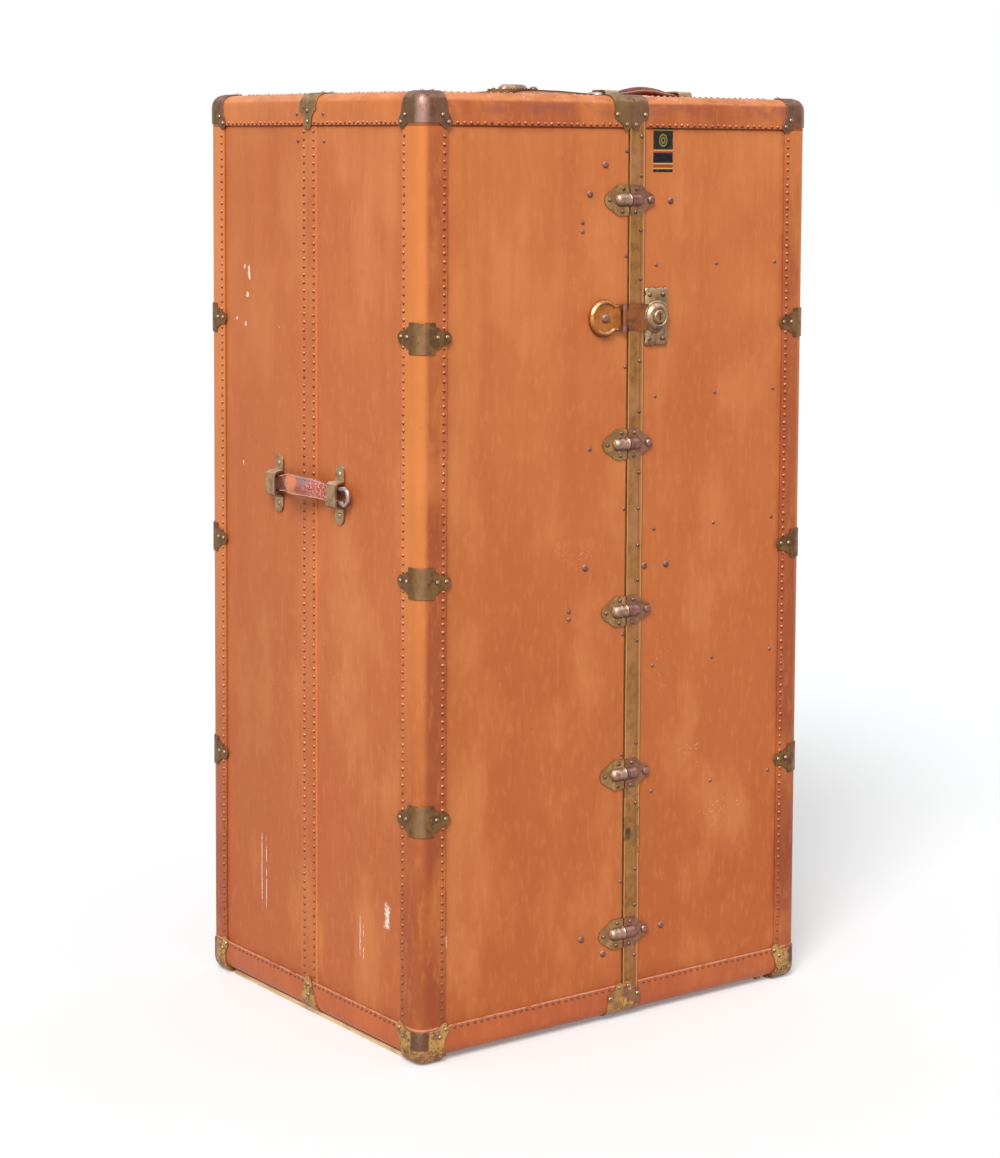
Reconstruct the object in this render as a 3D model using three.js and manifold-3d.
// Upright wardrobe trunk in two halves on a back hinge, with its drawers and hangers.
// Millimetres, Z up. X runs along the wide front from left to right, and the front looks to -Y.
import * as THREE from 'three';
import { RoundedBoxGeometry } from 'three/addons/geometries/RoundedBoxGeometry.js';
import { mergeVertices } from 'three/addons/utils/BufferGeometryUtils.js';
import manifoldModule from 'manifold-3d';

const wasm = await manifoldModule();
wasm.setup();

// Case
const halfWidth = 282;
const halfDepth = 229;
const baseZ = 6;
const topZ = 1081;
const seamX = 8.5;
const edgeRadius = 14;
const clearGap = 0.3;
const seamGap = 0.15;
const panelInset = 2.5;
const bindingWidth = 36;
const wallThick = 8;
const rimThick = 1.05;
const rimProud = 0.6;
const crownRise = 11;
const crownReach = 50;
const overrun = 12;
const arcSegments = 2;
const roundSegments = 12;
const caseTall = topZ - baseZ;
const bindingThick = panelInset - clearGap;
const heightAt = (share) => baseZ + caseTall * share;

// Brass skins over the edges
const brassThick = 1.2;
const skinPast = 6;
const capPast = 6;
const clampPast = 6;
const clampHalf = 17.5;
const clipHalf = 20;
const clipPast = 5;
const bottomClipDeep = 7.5;
const seamClipLeft = 24;
const seamClipRight = 25;
const sideStripHalf = 15.5;
const stripWide = 22.5;
const stripInset = 0.8;
const skidWide = 42;
const skidInset = 8;
const skidTip = 17;
const skinDeep = edgeRadius + skinPast;
const capLeg = bindingWidth + capPast;
const clampReach = bindingWidth + clampPast;
const clipDrop = bindingWidth + clipPast;
const clampHeightShares = [0.25247, 0.49963, 0.75042];

// Seam dowels
const dowelRadius = 8;
const dowelLength = 21;
const dowelShorter = 2;
const plateReach = 37.5;
const plateHalf = 19;
const plateSunk = 0.6;
const plateProud = 0.5;
const noseRadius = 3;
const noseAxis = 1.3;
const noseLength = 5;
const boreSlack = 0.5;
const dowelHeightShares = [0.09042, 0.2667, 0.44577, 0.62735, 0.8893];

// Hasp and lock
const rosetteIn = 38.5;
const rosetteRadius = 22;
const rosetteHigh = 6;
const neckHigh = 1.4;
const neckLap = 8;
const haspAxisIn = 9.5;
const haspAxisOut = 3.2;
const haspKnuckle = 3.2;
const haspLap = 1;
const haspPin = 1.3;
const pinPast = 2;
const pinSlack = 0.4;
const haspHalf = 15.5;
const haspMiddle = 8.5;
const haspLow = 1.3;
const haspThick = 3.6;
const haspShoulder = 4;
const haspFlare = 1.5;
const bossIn = 39;
const bossRadius = 19;
const bossGap = 0.7;
const bossHigh = 9;
const bossLift = 0.4;
const plugRadius = 8;
const plugProud = 0.3;
const plugDeep = 6.7;
const wellDeep = 7;
const keywayHalf = 0.7;
const keywayTall = 4;
const keywayDeep = 3;
const lockPlateHalf = 17.2;
const lockPlateTall = 34;
const lockPlateProud = 0.5;
const lockPlateAside = 1;
const lockHeightShare = 0.76372;
const lockZ = heightAt(lockHeightShare);
const rosetteX = seamX - rosetteIn;
const haspAxisX = seamX - haspAxisIn;
const bossX = seamX + bossIn;

// Back hinge
const hingeOut = 5.5;
const hingeKnuckle = 4.5;
const hingePin = 2;
const hingeLeaf = 25;
const hingePart = 24;
const hingeHeightShares = [0.16186, 0.5, 0.83814];

// Handles
const handleShare = 0.35832;
const endBlock = 10;
const endLap = 0.5;
const endWider = 3;
const endLow = 4;
const endHigh = 13.5;
const bracketIn = 31.5;
const bracketWide = 20;
const bracketTall = 34.5;
const bracketThick = 2.6;
const bracketTab = 2;
const bracketFoot = 1.6;
const bracketRound = 3.2;
const strapHalf = 11;
const strapThick = 8;
const strapOut = 7.7;
const strapBevel = 2.2;
const gripBow = 50;
const topGripBow = 40;
const topBracketIn = 25;
const sideGripRise = 16;
const topGripRise = 4;
const sideHandleShare = 0.57581;
const topHandleShare = -0.345;
const topHandleSizeShare = 0.3;
const handleHalf = (halfWidth - seamX) * handleShare;
const gripHalf = handleHalf - endBlock;
const bracketAt = handleHalf - bracketIn;
const topHandleHalf = (halfWidth - seamX) * topHandleSizeShare;
const topGripHalf = topHandleHalf - endBlock;
const topBracketAt = topHandleHalf - topBracketIn;
const sideHandleZ = heightAt(sideHandleShare);
const topHandleX = (seamX + halfWidth) / 2;
const topHandleY = halfDepth * topHandleShare;

// Inside
const railDrop = 30.5;
const railHalf = 12;
const railThick = 2;
const trackMouth = 14;
const slotHalf = 4;
const carriageHalf = 9;
const carriageTall = 8;
const carriageBack = 2;
const carriageDrop = 28;
const carriageRail = 6;
const webSlack = 0.7;
const runnerSlack = 1;
const hangerRoom = 28.5;
const hangerTall = 92;
const hangerThick = 12;
const hangerHead = 8;
const hangerSlack = 1;
const neckSlack = 0.5;
const mouthGap = 1;
const boardThick = 6;
const drawerSlack = 1.5;
const drawerWall = 6;
const drawerBase = 5;
const drawerFrontAt = 2;
const notchRadius = 22;
const carriageShare = 0.8214;
const hangerPlaceShares = [0.2911, 0.5768];
const shelfHeightShares = [0.24186, 0.3814, 0.53209, 0.67721, 0.81953];
const shelfHeights = shelfHeightShares.map(heightAt);

const panelHalfX = halfWidth - panelInset;
const panelHalfY = halfDepth - panelInset;
const panelTop = topZ - panelInset;
const innerHalfX = panelHalfX - wallThick;
const innerHalfY = panelHalfY - wallThick;
const innerTop = panelTop - wallThick;
const innerBase = baseZ + panelInset + wallThick;
const railZ = innerTop - railDrop;

// Turns a closed three.js geometry into a solid for joining and cutting.
function solid(geometry) {
  const bare = new THREE.BufferGeometry();
  bare.setAttribute('position', geometry.getAttribute('position').clone());
  if (geometry.index) bare.setIndex(geometry.index.clone());
  const welded = mergeVertices(bare, 1e-4);
  return new wasm.Manifold(new wasm.Mesh({
    numProp: 3,
    vertProperties: Float32Array.from(welded.getAttribute('position').array),
    triVerts: Uint32Array.from(welded.index.array),
  }));
}

// Gives a solid back as a three.js geometry.
function geometryOf(body) {
  const mesh = body.getMesh();
  const geometry = new THREE.BufferGeometry();
  geometry.setAttribute('position', new THREE.BufferAttribute(Float32Array.from(mesh.vertProperties), 3));
  geometry.setIndex(new THREE.BufferAttribute(Uint32Array.from(mesh.triVerts), 1));
  return geometry;
}

function join(...bodies) {
  return bodies.reduce((sum, body) => sum.add(body));
}

function block(x0, x1, y0, y1, z0, z1) {
  const box = new THREE.BoxGeometry(x1 - x0, y1 - y0, z1 - z0);
  return solid(box.translate((x0 + x1) / 2, (y0 + y1) / 2, (z0 + z1) / 2));
}

// The case with every face moved in by inset, on rounded edges.
function caseBody(inset, lowest = baseZ + inset) {
  const highest = topZ - inset;
  const box = new RoundedBoxGeometry(2 * (halfWidth - inset), 2 * (halfDepth - inset), highest - lowest,
    arcSegments, edgeRadius - inset);
  return solid(box.translate(0, 0, (highest + lowest) / 2));
}

// A flat outline pushed from one plane to another. The outline is given in the two other axes, in the
// order X, Y, Z.
function prism(outline, axis, from, to) {
  const shape = new THREE.Shape(outline.map(([a, b]) => new THREE.Vector2(a, b)));
  const low = Math.min(from, to);
  const high = Math.max(from, to);
  const slab = new THREE.ExtrudeGeometry(shape, { depth: high - low, bevelEnabled: false });
  const [xAxis, yAxis, zAxis] = [new THREE.Vector3(1, 0, 0), new THREE.Vector3(0, 1, 0), new THREE.Vector3(0, 0, 1)];
  const turn = new THREE.Matrix4();
  if (axis === 'x') turn.makeBasis(yAxis, zAxis, xAxis).setPosition(low, 0, 0);
  if (axis === 'y') turn.makeBasis(xAxis, zAxis, yAxis.clone().negate()).setPosition(0, high, 0);
  if (axis === 'z') turn.makeBasis(xAxis, yAxis, zAxis).setPosition(0, 0, low);
  return solid(slab.applyMatrix4(turn));
}

// A closed body through matching sections.
function loft(sections) {
  const ring = sections[0].length;
  const points = sections.flat(2);
  const faces = [];
  for (let s = 0; s < sections.length - 1; s += 1) {
    for (let i = 0; i < ring; i += 1) {
      const a = s * ring + i;
      const b = s * ring + ((i + 1) % ring);
      faces.push(a, b, b + ring, a, b + ring, a + ring);
    }
  }
  const last = (sections.length - 1) * ring;
  for (let i = 1; i < ring - 1; i += 1) {
    faces.push(0, i + 1, i);
    faces.push(last, last + i, last + i + 1);
  }
  const geometry = new THREE.BufferGeometry();
  geometry.setAttribute('position', new THREE.Float32BufferAttribute(points, 3));
  geometry.setIndex(faces);
  let body = solid(geometry);
  if (body.volume() < 0) {
    geometry.setIndex(faces.slice().reverse());
    body = solid(geometry);
  }
  return body;
}

// A turned body about an axis through the given point. The profile is [radius, along] from low to high.
function turned(profile, axis, at, segments = roundSegments) {
  const lathe = new THREE.LatheGeometry(profile.map(([r, a]) => new THREE.Vector2(r, a)), segments);
  if (axis === 'x') lathe.rotateZ(-Math.PI / 2);
  if (axis === 'y-') lathe.rotateX(Math.PI);
  if (axis === 'z') lathe.rotateX(Math.PI / 2);
  lathe.translate(...at);
  const trial = solid(lathe);
  if (trial.volume() > 0) return trial;
  const index = Array.from(lathe.index.array).reverse();
  lathe.setIndex(index);
  return solid(lathe);
}

function rod(radius, axis, at, low, high, segments = roundSegments) {
  return turned([[0, low], [radius, low], [radius, high], [0, high]], axis, at, segments);
}

function mirrored(points) {
  return points.concat(points.slice().reverse().filter(([, v]) => v !== 0).map(([u, v]) => [u, -v]));
}

// The low crown of the lid along the seam, highest at the middle of the depth.
function crown(side, lift, reach = crownReach, start = 0) {
  const span = halfDepth - bindingWidth;
  const stations = 8;
  const foot = panelTop + lift;
  const sections = [];
  for (let k = 0; k <= stations; k += 1) {
    const y = -span + (2 * span * k) / stations;
    const rise = crownRise * (1 - (y / span) ** 2);
    const nearX = seamX + side * start;
    const farX = seamX + side * reach;
    const farRise = rise * (1 - reach / crownReach);
    sections.push([
      [farX, y, foot + farRise], [nearX, y, foot + rise], [nearX, y, foot - wallThick / 2],
      [farX, y, foot - wallThick / 2],
    ]);
  }
  return loft(sections);
}

// Everything on one side of the seam, from the given distance.
function sideOf(side, from) {
  const reach = halfWidth * 2;
  return side < 0
    ? block(-reach, seamX - from, -reach, reach, -reach, topZ + reach)
    : block(seamX + from, reach, -reach, reach, -reach, topZ + reach);
}

const bodyAt = seamGap + rimThick + clearGap;
const hollow = block(-innerHalfX, innerHalfX, -innerHalfY, innerHalfY, innerBase, innerTop);
const skin = caseBody(-clearGap - brassThick, 0).subtract(caseBody(-clearGap));
const clipSkin = caseBody(-clearGap - brassThick).subtract(caseBody(-clearGap));

function shell(side) {
  const outer = caseBody(panelInset).add(crown(side, 0));
  return outer.subtract(hollow).intersect(sideOf(side, bodyAt));
}

// The stitched and nailed edge binding of one half, a frame round every outer edge.
function binding(side) {
  const from = side < 0 ? bodyAt : seamGap + stripWide + clearGap;
  const skinOnly = caseBody(0).subtract(caseBody(bindingThick));
  const openLeft = side < 0 ? -halfWidth + bindingWidth : seamX;
  const openRight = side < 0 ? seamX : halfWidth - bindingWidth;
  const farOut = halfWidth * 2;
  const openY = halfDepth - bindingWidth;
  const openLow = baseZ + bindingWidth;
  const openHigh = topZ - bindingWidth;
  return skinOnly
    .subtract(block(openLeft, openRight, -farOut, farOut, openLow, openHigh))
    .subtract(block(-farOut, farOut, -openY, openY, openLow, openHigh))
    .subtract(block(openLeft, openRight, -openY, openY, -farOut, topZ + farOut))
    .intersect(sideOf(side, from));
}

function sideStrip(side) {
  const inner = side * (panelHalfX + clearGap);
  const outer = side * (halfWidth - stripInset);
  return block(Math.min(inner, outer), Math.max(inner, outer), -sideStripHalf, sideStripHalf,
    baseZ + bindingWidth + clearGap, topZ - bindingWidth - clearGap);
}

// Scalloped outline of a corner cap on one face: [along the horizontal edge, along the other].
const capShares = [
  [0, 0], [0.8, 0], [0.8, 0.12], [0.833, 0.38], [0.852, 0.536], [0.948, 0.667], [0.99, 0.769], [0.964, 0.876],
  [0.893, 0.95], [0.826, 0.976], [0.721, 0.938], [0.638, 0.862], [0.548, 0.814], [0.417, 0.786], [0.31, 0.757],
  [0.214, 0.774], [0.138, 0.802], [0, 0.821],
];
const capTopShares = [
  [0, 0], [0.8, 0], [0.83, 0.3], [0.83, 0.5], [0.72, 0.62], [0.7, 0.7], [0.62, 0.72], [0.5, 0.83], [0.3, 0.83],
  [0, 0.8],
];

function cornerCap(sideX, sideY, sideZ) {
  const edgeZ = sideZ > 0 ? topZ : baseZ;
  const from = (edge, sign) => (share) => (share === 0 ? edge + sign * overrun : edge - sign * share * capLeg);
  const x = from(sideX * halfWidth, sideX);
  const y = from(sideY * halfDepth, sideY);
  const z = from(edgeZ, sideZ);
  const front = prism(capShares.map(([u, v]) => [x(u), z(v)]), 'y', sideY * (halfDepth + overrun),
    sideY * (halfDepth - skinDeep));
  const flank = prism(capShares.map(([u, v]) => [y(u), z(v)]), 'x', sideX * (halfWidth + overrun),
    sideX * (halfWidth - skinDeep));
  const lid = prism(capTopShares.map(([u, v]) => [x(u), y(v)]), 'z', edgeZ + sideZ * overrun,
    edgeZ - sideZ * skinDeep);
  return skin.intersect(join(front, flank, lid));
}

// Outline of half an edge clamp: [distance from the edge, height].
const clampShares = [
  [0.226, 1], [0.345, 0.766], [0.43, 0.714], [0.567, 0.68], [0.643, 0.537], [0.762, 0.457], [0.869, 0.423],
  [0.952, 0.263], [1, 0],
];

function edgeClamp(sideX, sideY, height) {
  const outline = mirrored([[-overrun, clampHalf], ...clampShares.map(([u, v]) => [u * clampReach, v * clampHalf])]);
  const front = prism(outline.map(([u, v]) => [sideX * (halfWidth - u), height + v]), 'y',
    sideY * (halfDepth + overrun), sideY * (halfDepth - skinDeep));
  const flank = prism(outline.map(([u, v]) => [sideY * (halfDepth - u), height + v]), 'x',
    sideX * (halfWidth + overrun), sideX * (halfWidth - skinDeep));
  return skin.intersect(front.add(flank));
}

// Tapered clip with a round lobe, over the middle of a side's top or bottom edge: [half width, drop].
const clipShares = [[0.9, -0.2], [0.82, 0.3], [0.62, 0.54], [0.42, 0.68], [0.4, 0.86], [0.27, 0.97], [0, 1]];

function clipPoints(centre, half, edge, drop) {
  const right = clipShares.map(([u, v]) => [centre + u * half, edge - v * drop]);
  const left = clipShares.slice(0, -1).reverse().map(([u, v]) => [centre - u * half, edge - v * drop]);
  return right.concat(left);
}

function sideClip(side, top) {
  if (!top) {
    return clipSkin.intersect(prism(clipPoints(0, clipHalf, baseZ, -clipDrop), 'x', side * (halfWidth + overrun),
      side * (halfWidth - bottomClipDeep)));
  }
  const flank = prism(clipPoints(0, clipHalf, topZ, clipDrop), 'x', side * (halfWidth + overrun),
    side * (halfWidth - skinDeep));
  const lid = prism(clipPoints(0, clipHalf, 0, clipDrop)
    .map(([v, u]) => [side * (halfWidth + u), v]), 'z', topZ + overrun, topZ - skinDeep);
  return clipSkin.intersect(flank.add(lid));
}

// Wooden runner under the outer side of a half, with a notched end beside each cap.
function skid(side) {
  const outer = side * (halfWidth - skidInset);
  const inner = side * (halfWidth - skidInset - skidWide);
  const notch = side * (halfWidth - capLeg - brassThick);
  const short = halfDepth - capLeg - brassThick;
  const long = halfDepth - skidTip;
  return prism([
    [outer, -short], [notch, -short], [notch, -long], [inner, -long],
    [inner, long], [notch, long], [notch, short], [outer, short],
  ], 'z', 0, baseZ - clearGap);
}

// A seam clip over the front edge, top or bottom, ending at the seam: [across, drop].
const seamClipShares = [
  [1, 0.57], [0.95, 0.645], [0.51, 0.78], [0.49, 0.878], [0.375, 0.94], [0.21, 0.946], [0.083, 0.878],
];
const seamClipEndShare = 0.83;

function seamClipRegion(side, top, wide) {
  const edge = top ? topZ : baseZ;
  const sign = top ? 1 : -1;
  const face = [[seamGap, -overrun], [wide, -overrun], ...seamClipShares.map(([u, v]) => [u * wide, v * clipDrop]),
    [seamGap, seamClipEndShare * clipDrop]];
  const front = prism(face.map(([u, v]) => [seamX + side * u, edge - sign * v]), 'y', -halfDepth - overrun,
    -halfDepth + skinDeep);
  const lid = prism(face.map(([u, v]) => [seamX + side * u, -halfDepth + v]), 'z', edge + sign * overrun,
    edge - sign * skinDeep);
  return front.add(lid);
}

// Half a seam dowel in its own frame: u from the seam, v across, h out of the face. Made over the front
// face or, with onTop, over the lid.
function place(body, side, height, onTop) {
  const turn = new THREE.Matrix4();
  const geometry = geometryOf(body);
  if (onTop) {
    turn.makeBasis(new THREE.Vector3(side, 0, 0), new THREE.Vector3(0, 1, 0), new THREE.Vector3(0, 0, 1));
    turn.setPosition(seamX, 0, topZ + crownRise);
  } else {
    turn.makeBasis(new THREE.Vector3(side, 0, 0), new THREE.Vector3(0, 0, 1), new THREE.Vector3(0, -1, 0));
    turn.setPosition(seamX, -halfDepth, height);
  }
  geometry.applyMatrix4(turn);
  if (turn.determinant() < 0) {
    geometry.setIndex(Array.from(geometry.index.array).reverse());
  }
  return solid(geometry);
}

const malePlateShares = [
  [0, 0.92], [0.41, 0.937], [0.53, 0.837], [0.61, 0.684], [0.71, 0.579], [0.84, 0.437], [0.925, 0.274],
  [0.97, 0],
];
const femalePlateShares = [
  [0, 0.92], [0.45, 0.916], [0.55, 0.716], [0.62, 0.58], [0.71, 0.474], [0.853, 0.368], [0.936, 0.2],
  [0.955, 0],
];
const dowelEndShares = [[1, 0.62], [0.8, 0.87], [0.35, 1]];

function dowelHalf(male, onTop) {
  const deep = onTop ? crownRise : bindingThick;
  const high = male ? -plateSunk : plateProud;
  const outline = mirrored((male ? malePlateShares : femalePlateShares)
    .map(([u, v]) => [seamGap + u * (plateReach - seamGap), v * plateHalf]));
  const plate = prism(outline, 'z', -deep, high);
  const long = male ? dowelLength : dowelLength - dowelShorter;
  const barrel = turned([[0, seamGap], [dowelRadius, seamGap],
    ...dowelEndShares.map(([r, a]) => [r * dowelRadius, a * long]), [0, long]], 'x', [0, 0, -panelInset]);
  const above = block(0, dowelLength * 2, -dowelRadius * 2, dowelRadius * 2, -bindingThick, dowelRadius * 2);
  return plate.add(barrel.intersect(above));
}

function seamDowels(side) {
  const male = side < 0;
  const front = dowelHalf(male, false);
  const lid = dowelHalf(male, true);
  const placed = dowelHeightShares.map((share) => place(front, side, heightAt(share), false));
  placed.push(place(lid, side, 0, true).subtract(caseBody(panelInset - clearGap))
    .subtract(crown(side, clearGap, crownReach, seamGap + rimThick)));
  return placed;
}

function dowelNoses(radius, slack) {
  const low = -noseLength;
  const high = noseLength + slack;
  const profile = [[0, low], [radius, low], [radius, high - radius / 2], [radius / 2, high], [0, high]];
  const front = dowelHeightShares.map((share) => turned(profile, 'x', [seamX, -halfDepth - noseAxis, heightAt(share)]));
  const lid = turned(profile, 'x', [seamX, 0, topZ + crownRise + noseAxis]);
  return join(...front, lid);
}

// Flat brass rim over the mouth of one half.
function rim(side) {
  const near = side < 0 ? seamX - seamGap - rimThick : seamX + seamGap;
  const slab = block(near, near + rimThick, -halfWidth, halfWidth, 0, topZ + crownRise * 2);
  const arch = crown(side, rimProud);
  return caseBody(panelInset - rimProud).add(arch).subtract(hollow).intersect(slab);
}

function seamClips(side) {
  const wide = side < 0 ? seamClipLeft : seamClipRight;
  const regions = seamClipRegion(side, true, wide).add(seamClipRegion(side, false, wide));
  const solidWide = side < 0 ? seamGap + rimThick : seamGap + stripWide;
  const near = side < 0 ? seamX - solidWide : seamX + seamGap;
  const far = side < 0 ? seamX - seamGap : seamX + solidWide;
  const thick = caseBody(-clearGap - brassThick).subtract(caseBody(bindingThick))
    .intersect(block(near, far, -halfWidth, halfWidth, 0, topZ + crownRise));
  return clipSkin.add(thick).intersect(regions).subtract(crown(side, clearGap));
}

function leftSeamFrame() {
  return join(rim(-1), seamClips(-1), ...seamDowels(-1), dowelNoses(noseRadius, 0));
}

function rightSeamStrip() {
  const skinOnly = caseBody(stripInset).subtract(caseBody(bindingThick));
  const strip = skinOnly.intersect(block(seamX + seamGap, seamX + seamGap + stripWide, -halfWidth,
    halfDepth - bindingWidth, 0, topZ)).subtract(crown(1, clearGap, crownReach, 0));
  const cover = crown(1, panelInset - stripInset, stripWide + seamGap, seamGap)
    .subtract(crown(1, clearGap, crownReach, 0)).subtract(caseBody(bindingThick));
  return join(rim(1), strip, cover, seamClips(1), ...seamDowels(1))
    .subtract(dowelNoses(noseRadius + boreSlack, boreSlack * 2));
}

// One leaf of the back hinge, full height, with its knuckles at three places.
function hingeLeafBody(side) {
  const axisY = halfDepth + hingeOut;
  const inner = panelHalfY + rimProud + clearGap;
  const outer = inner + brassThick;
  const from = side < 0 ? seamX - hingeLeaf : seamX + seamGap;
  const to = side < 0 ? seamX - seamGap : seamX + hingeLeaf;
  let body = block(from, to, inner, outer, baseZ + bindingWidth + clearGap, topZ - bindingWidth - clearGap);
  for (const height of hingeHeightShares.map(heightAt)) {
    const parts = side < 0
      ? [[-1.5 * hingePart, -0.5 * hingePart - clearGap], [0.5 * hingePart + clearGap, 1.5 * hingePart]]
      : [[-0.5 * hingePart, 0.5 * hingePart]];
    for (const [low, high] of parts) {
      const neckLow = side < 0 ? seamX - hingeKnuckle : seamX + clearGap;
      const neckHigh = side < 0 ? seamX - clearGap : seamX + hingeKnuckle;
      body = body.add(rod(hingeKnuckle, 'z', [seamX, axisY, height], low, high));
      body = body.add(block(neckLow, neckHigh, inner, axisY, height + low, height + high));
    }
    if (side < 0) {
      body = body.add(rod(hingePin, 'z', [seamX, axisY, height], -1.4 * hingePart, 1.4 * hingePart));
    } else {
      body = body.subtract(rod(hingePin + pinSlack, 'z', [seamX, axisY, height], -hingePart, hingePart));
    }
  }
  return body;
}

// Rosette, neck and outer knuckles that carry the hasp on the left half.
const rosetteShares = [[1, 0], [0.886, 0.267], [0.773, 0.1], [0.41, 0.2], [0.34, 0.7], [0.18, 0.93], [0, 1]];

function haspBase() {
  const out = (h) => -halfDepth - h;
  const rosette = turned([[0, -bindingThick], [rosetteRadius, -bindingThick],
    ...rosetteShares.map(([r, h]) => [r * rosetteRadius, h * rosetteHigh])], 'y-', [rosetteX, -halfDepth, lockZ],
  roundSegments * 2);
  const neck = block(rosetteX + rosetteRadius - neckLap, haspAxisX - haspKnuckle - haspLap / 2, out(neckHigh),
    out(-bindingThick), lockZ - haspHalf, lockZ + haspHalf);
  let body = rosette.add(neck);
  const midGap = haspMiddle + clearGap;
  for (const [low, high] of [[-haspHalf, -midGap], [midGap, haspHalf]]) {
    body = body.add(rod(haspKnuckle, 'z', [haspAxisX, out(haspAxisOut), lockZ], low, high));
    body = body.add(block(haspAxisX - haspKnuckle - haspLap, haspAxisX, out(haspAxisOut), out(-bindingThick),
      lockZ + low, lockZ + high));
  }
  return body.add(rod(haspPin, 'z', [haspAxisX, out(haspAxisOut), lockZ], -midGap - pinPast, midGap + pinPast));
}

// Hasp strap with a hollowed end that closes round the lock boss.
const haspSweepShare = 0.56;

function haspStrap() {
  const neckX = haspAxisX + haspShoulder;
  const points = [[haspAxisX, -haspMiddle], [neckX, -haspMiddle], [neckX + haspFlare, -haspHalf]];
  const steps = 8;
  const sweep = Math.PI * haspSweepShare;
  const hollowRadius = bossRadius + bossGap;
  for (let k = 0; k <= steps; k += 1) {
    const angle = Math.PI + sweep / 2 - (sweep * k) / steps;
    points.push([bossX + hollowRadius * Math.cos(angle), hollowRadius * Math.sin(angle)]);
  }
  points.push([neckX + haspFlare, haspHalf], [neckX, haspMiddle], [haspAxisX, haspMiddle]);
  const strap = prism(points.map(([u, v]) => [u, lockZ + v]), 'y', -halfDepth - haspLow - haspThick,
    -halfDepth - haspLow);
  const axis = [haspAxisX, -halfDepth - haspAxisOut, lockZ];
  return strap.add(rod(haspKnuckle, 'z', axis, -haspMiddle, haspMiddle))
    .subtract(rod(haspPin + pinSlack, 'z', axis, -haspHalf, haspHalf));
}

// A quarter of the lock plate, and the boss as [radius, height].
const lockPlateShares = [
  [0, 1], [0.22, 0.975], [0.36, 1], [0.62, 0.99], [0.8, 1], [0.97, 0.95], [1, 0.83], [0.94, 0.7], [1, 0.56],
  [1, 0],
];
const bossShares = [[1, 0.378], [0.884, 0.578], [0.821, 0.489], [0.632, 0.867], [0.474, 1], [0, 1]];

function lockCase() {
  const upper = lockPlateShares.map(([u, v]) => [u * lockPlateHalf, v * lockPlateTall]);
  const lower = upper.slice(0, -1).reverse().map(([u, v]) => [u, -v]);
  const rightSide = upper.concat(lower);
  const leftSide = rightSide.slice(1, -1).reverse().map(([u, v]) => [-u, v]);
  const outline = rightSide.concat(leftSide).map(([u, v]) => [bossX + lockPlateAside + u, lockZ + v]);
  const plate = prism(outline, 'y', -halfDepth + lockPlateProud, -halfDepth + bindingThick);
  const boss = turned([[0, -bindingThick], [bossRadius - endWider, -bindingThick],
    [bossRadius - endWider, -bossLift], [bossRadius, -bossLift],
    ...bossShares.map(([r, h]) => [r * bossRadius, h * bossHigh])], 'y-', [bossX, -halfDepth, lockZ],
  roundSegments * 2);
  const well = rod(plugRadius + clearGap, 'y-', [bossX, -halfDepth, lockZ], bossHigh - wellDeep, bossHigh + overrun,
    roundSegments * 2);
  return plate.add(boss).subtract(well);
}

function lockPlug() {
  const front = bossHigh + plugProud;
  const plug = turned([[0, bossHigh - plugDeep], [plugRadius, bossHigh - plugDeep], [plugRadius, bossHigh - plugProud * 2],
    [plugRadius - plugProud * 3, front], [0, front]], 'y-', [bossX, -halfDepth, lockZ], roundSegments * 2);
  const keyway = block(bossX - keywayHalf, bossX + keywayHalf, -halfDepth - front - overrun,
    -halfDepth - front + keywayDeep, lockZ - keywayTall, lockZ + keywayTall);
  return plug.subtract(keyway);
}

// Handle bracket: two screw tabs and a raised loop round the strap, as [along the tabs, out of the face].
function bracketPoints() {
  const loopHalf = strapHalf + clearGap;
  const loopHigh = strapOut + strapThick / 2 + clearGap;
  const outer = loopHalf + bracketThick;
  const roof = loopHigh + bracketThick;
  const right = [
    [outer - bracketRound, roof], [outer, roof - strapBevel], [outer + bracketFoot, bracketTab],
    [bracketTall, bracketTab], [bracketTall, 0], [loopHalf, 0], [loopHalf, loopHigh - strapBevel],
    [loopHalf - strapBevel, loopHigh],
  ];
  return right.concat(right.slice().reverse().map(([v, h]) => [-v, h]));
}

function sideBracket(side, y) {
  const foot = panelHalfX + clearGap;
  const outline = bracketPoints().map(([v, h]) => [side * (foot + h), sideHandleZ + v]);
  return prism(outline, 'y', y - bracketWide / 2, y + bracketWide / 2);
}

function topBracket(x) {
  const foot = panelTop + clearGap;
  const outline = bracketPoints().map(([v, h]) => [topHandleY + v, foot + h]);
  return prism(outline, 'x', x - bracketWide / 2, x + bracketWide / 2);
}

// Leather grip with a metal end block at each end: along s, across v, out h.
function gripSections(half, bowHalf, rise, map) {
  const stations = 20;
  const sections = [];
  for (let k = 0; k <= stations; k += 1) {
    const s = -half + (2 * half * k) / stations;
    const bow = Math.abs(s) < bowHalf ? (rise / 2) * (1 + Math.cos((Math.PI * s) / bowHalf)) : 0;
    const centre = strapOut + bow;
    const edge = strapBevel;
    const up = strapThick / 2;
    sections.push([
      [strapHalf, -up + edge], [strapHalf, up - edge], [strapHalf - edge, up], [-strapHalf + edge, up],
      [-strapHalf, up - edge], [-strapHalf, -up + edge], [-strapHalf + edge, -up], [strapHalf - edge, -up],
    ].map(([v, h]) => map(s, v, centre + h)));
  }
  return sections;
}

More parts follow.
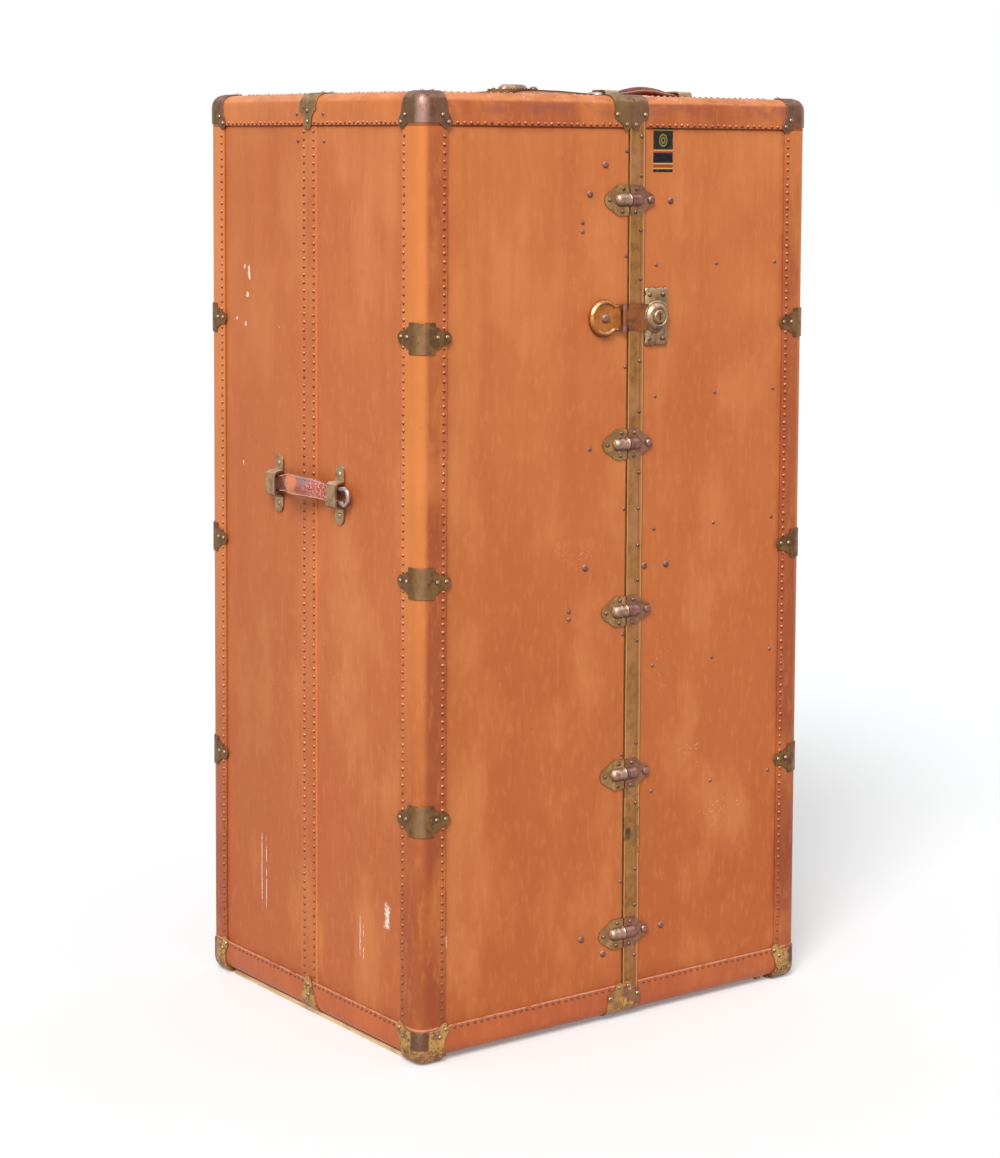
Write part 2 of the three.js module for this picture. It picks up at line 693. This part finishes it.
function sideHandle(side) {
  const foot = panelHalfX + clearGap;
  const map = (s, v, h) => [side * (foot + h), s, sideHandleZ + v];
  const ends = [-1, 1].map((way) => {
    const x0 = side * (foot + endLow);
    const x1 = side * (foot + endHigh);
    const y0 = way * (gripHalf - endLap);
    const y1 = way * handleHalf;
    const loop = block(Math.min(x0, x1), Math.max(x0, x1), Math.min(y0, y1), Math.max(y0, y1),
      sideHandleZ - strapHalf - endWider, sideHandleZ + strapHalf + endWider);
    return loop;
  });
  return join(loft(gripSections(gripHalf, gripBow, sideGripRise, map)), ...ends);
}

function topHandle() {
  const foot = panelTop + clearGap;
  const map = (s, v, h) => [topHandleX + s, topHandleY + v, foot + h];
  const ends = [-1, 1].map((way) => {
    const x0 = topHandleX + way * (topGripHalf - endLap);
    const x1 = topHandleX + way * topHandleHalf;
    return block(Math.min(x0, x1), Math.max(x0, x1), topHandleY - strapHalf - endWider, topHandleY + strapHalf + endWider,
      foot + endLow, foot + endHigh);
  });
  return join(loft(gripSections(topGripHalf, topGripBow, topGripRise, map)), ...ends);
}

// Steel channel under the lid of the left half, open downward, that carries the hanger carriage.
function hangerTrack() {
  const x0 = -innerHalfX + clearGap;
  const x1 = seamX - trackMouth;
  const outer = block(x0, x1, -railHalf - railThick, railHalf + railThick, railZ - railThick, innerTop - clearGap);
  const inside = block(x0 + railThick, x1 + overrun, -railHalf, railHalf, railZ, innerTop - clearGap - railThick);
  const slot = block(x0 + railThick, x1 + overrun, -carriageHalf / 2, carriageHalf / 2, railZ - slotHalf,
    railZ + slotHalf);
  return outer.subtract(inside).subtract(slot);
}

// T-shaped bar that runs in the channel, with a flat rail below for the hangers.
const webHalf = carriageHalf / 2 - webSlack;
const railLow = railZ - carriageDrop;

function hangerCarriage() {
  const x0 = -innerHalfX + railThick + carriageBack;
  const x1 = x0 + (seamX + innerHalfX) * carriageShare;
  const runner = block(x0, x1, -railHalf + runnerSlack, railHalf - runnerSlack, railZ + clearGap,
    railZ + carriageTall);
  const web = block(x0, x1, -webHalf, webHalf, railLow + carriageRail / 2, railZ + carriageTall / 2);
  const rail = block(x0, x1, -carriageHalf, carriageHalf, railLow, railLow + carriageRail);
  return join(runner, web, rail);
}

// Wooden hanger: a shaped board with a slot that rides on the carriage rail.
const hangerShares = [
  [0, 0], [0.116, 0.022], [0.158, 0.304], [0.474, 0.457], [0.916, 0.717], [1, 0.87], [0.968, 1],
  [0.842, 0.913], [0.474, 0.717], [0.211, 0.63], [0, 0.609],
];

function hanger(x) {
  const top = railZ - hangerHead;
  const hangerHalf = innerHalfY - hangerRoom;
  const shoulder = hangerShares.map(([v, w]) => [v * hangerHalf, top - w * hangerTall]);
  const left = shoulder.slice(1, -1).reverse().map(([v, w]) => [-v, w]);
  const board = prism(shoulder.concat(left), 'x', x - hangerThick / 2, x + hangerThick / 2);
  const seat = carriageHalf + hangerSlack;
  const slot = block(x - hangerThick, x + hangerThick, -seat, seat, railLow - hangerSlack,
    railLow + carriageRail + clearGap);
  const neckHalf = webHalf + neckSlack;
  const neck = block(x - hangerThick, x + hangerThick, -neckHalf, neckHalf, railLow + carriageRail / 2, railZ);
  return board.subtract(slot).subtract(neck);
}

// Plywood carcass in the right half: back and side boards with five shelves.
function drawerCarcass() {
  const gap = clearGap;
  const x0 = seamX + bodyAt + mouthGap;
  const x1 = innerHalfX - gap;
  const yHalf = innerHalfY - gap;
  const low = innerBase + gap;
  const high = innerTop - gap;
  let body = block(x0, x1, -yHalf, yHalf, low, high);
  const levels = [low, ...shelfHeights, high];
  for (let k = 0; k < levels.length - 1; k += 1) {
    const floor = k === 0 ? low + boardThick : levels[k] + boardThick / 2;
    const roof = k === levels.length - 2 ? high - boardThick : levels[k + 1] - boardThick / 2;
    body = body.subtract(block(x0 - overrun, x1 - boardThick, -yHalf + boardThick, yHalf - boardThick, floor, roof));
  }
  return body;
}

function drawerSpan(index) {
  const low = innerBase + clearGap;
  const floor = index === 0 ? low + boardThick : shelfHeights[index - 1] + boardThick / 2;
  return [floor + clearGap, shelfHeights[index] - boardThick / 2 - drawerSlack];
}

// Open-topped drawer with a round finger notch in its front.
function drawer(index) {
  const [floor, roof] = drawerSpan(index);
  const x0 = seamX + bodyAt + mouthGap + drawerFrontAt;
  const x1 = innerHalfX - clearGap - boardThick - drawerSlack;
  const yHalf = innerHalfY - clearGap - boardThick - drawerSlack;
  const tray = block(x0, x1, -yHalf, yHalf, floor, roof);
  const inside = block(x0 + drawerWall * 1.5, x1 - drawerWall, -yHalf + drawerWall, yHalf - drawerWall,
    floor + drawerBase, roof + overrun);
  const notch = rod(notchRadius, 'x', [x0 + drawerWall, 0, roof + notchRadius / 4], -drawerWall * 2, drawerWall * 2,
    roundSegments * 2);
  return tray.subtract(inside).subtract(notch);
}

const finishes = {
  panel: { color: 0xc87346, roughness: 0.5, metalness: 0 },
  binding: { color: 0xbe5f3a, roughness: 0.45, metalness: 0 },
  brass: { color: 0xae8442, roughness: 0.38, metalness: 0.9 },
  dullBrass: { color: 0x7d6946, roughness: 0.5, metalness: 0.8 },
  bronze: { color: 0x6e5041, roughness: 0.45, metalness: 0.7 },
  wornCap: { color: 0xc8a05a, roughness: 0.45, metalness: 0.8 },
  leather: { color: 0x8a4a30, roughness: 0.55, metalness: 0 },
  runner: { color: 0xd8c39c, roughness: 0.7, metalness: 0 },
  steel: { color: 0x8d8a84, roughness: 0.4, metalness: 0.9 },
  ply: { color: 0xb08a5a, roughness: 0.65, metalness: 0 },
  cloth: { color: 0x6f6a55, roughness: 0.85, metalness: 0 },
  hangerWood: { color: 0xa87a48, roughness: 0.5, metalness: 0 },
};

const group = new THREE.Group();
const frontReach = bossHigh + plugProud;
const backReach = hingeOut + hingeKnuckle;
const centreShift = (frontReach - backReach) / 2;

function add(name, body, finish) {
  const mesh = new THREE.Mesh(geometryOf(body), new THREE.MeshStandardMaterial(finishes[finish]));
  mesh.geometry.translate(0, centreShift, 0);
  mesh.name = name;
  group.add(mesh);
}

for (const [half, side] of [['left', -1], ['right', 1]]) {
  add(`${half}_shell`, shell(side), 'panel');
  add(`${half}_binding`, binding(side), 'binding');
  add(`${half}_side_strip`, sideStrip(side), 'panel');
  for (const [level, sideZ] of [['top', 1], ['bottom', -1]]) {
    add(`${half}_${level}_front_cap`, cornerCap(side, -1, sideZ), sideZ > 0 ? 'bronze' : 'wornCap');
    add(`${half}_${level}_back_cap`, cornerCap(side, 1, sideZ), sideZ > 0 ? 'bronze' : 'wornCap');
    add(`${half}_${level}_clip`, sideClip(side, sideZ > 0), 'brass');
  }
  clampHeightShares.forEach((share, index) => {
    add(`${half}_front_clamp_${index + 1}`, edgeClamp(side, -1, heightAt(share)), 'dullBrass');
    add(`${half}_back_clamp_${index + 1}`, edgeClamp(side, 1, heightAt(share)), 'dullBrass');
  });
  add(`${half}_skid`, skid(side), 'runner');
  add(`${half}_hinge_leaf`, hingeLeafBody(side), 'dullBrass');
  add(`${half}_handle`, sideHandle(side), 'leather');
  add(`${half}_front_bracket`, sideBracket(side, -bracketAt), 'dullBrass');
  add(`${half}_back_bracket`, sideBracket(side, bracketAt), 'dullBrass');
}
add('left_seam_frame', leftSeamFrame(), 'brass');
add('right_seam_strip', rightSeamStrip(), 'brass');
add('hasp_base', haspBase(), 'brass');
add('hasp_strap', haspStrap(), 'dullBrass');
add('lock_case', lockCase(), 'dullBrass');
add('lock_plug', lockPlug(), 'brass');
add('top_handle', topHandle(), 'leather');
add('top_inner_bracket', topBracket(topHandleX - topBracketAt), 'dullBrass');
add('top_outer_bracket', topBracket(topHandleX + topBracketAt), 'dullBrass');
add('hanger_track', hangerTrack(), 'steel');
add('hanger_carriage', hangerCarriage(), 'steel');
hangerPlaceShares.forEach((share, index) => {
  add(`hanger_${index + 1}`, hanger((seamX + innerHalfX) * share - innerHalfX), 'hangerWood');
});
add('drawer_carcass', drawerCarcass(), 'ply');
shelfHeights.forEach((_, index) => add(`drawer_${index + 1}`, drawer(index), 'cloth'));

export default group;
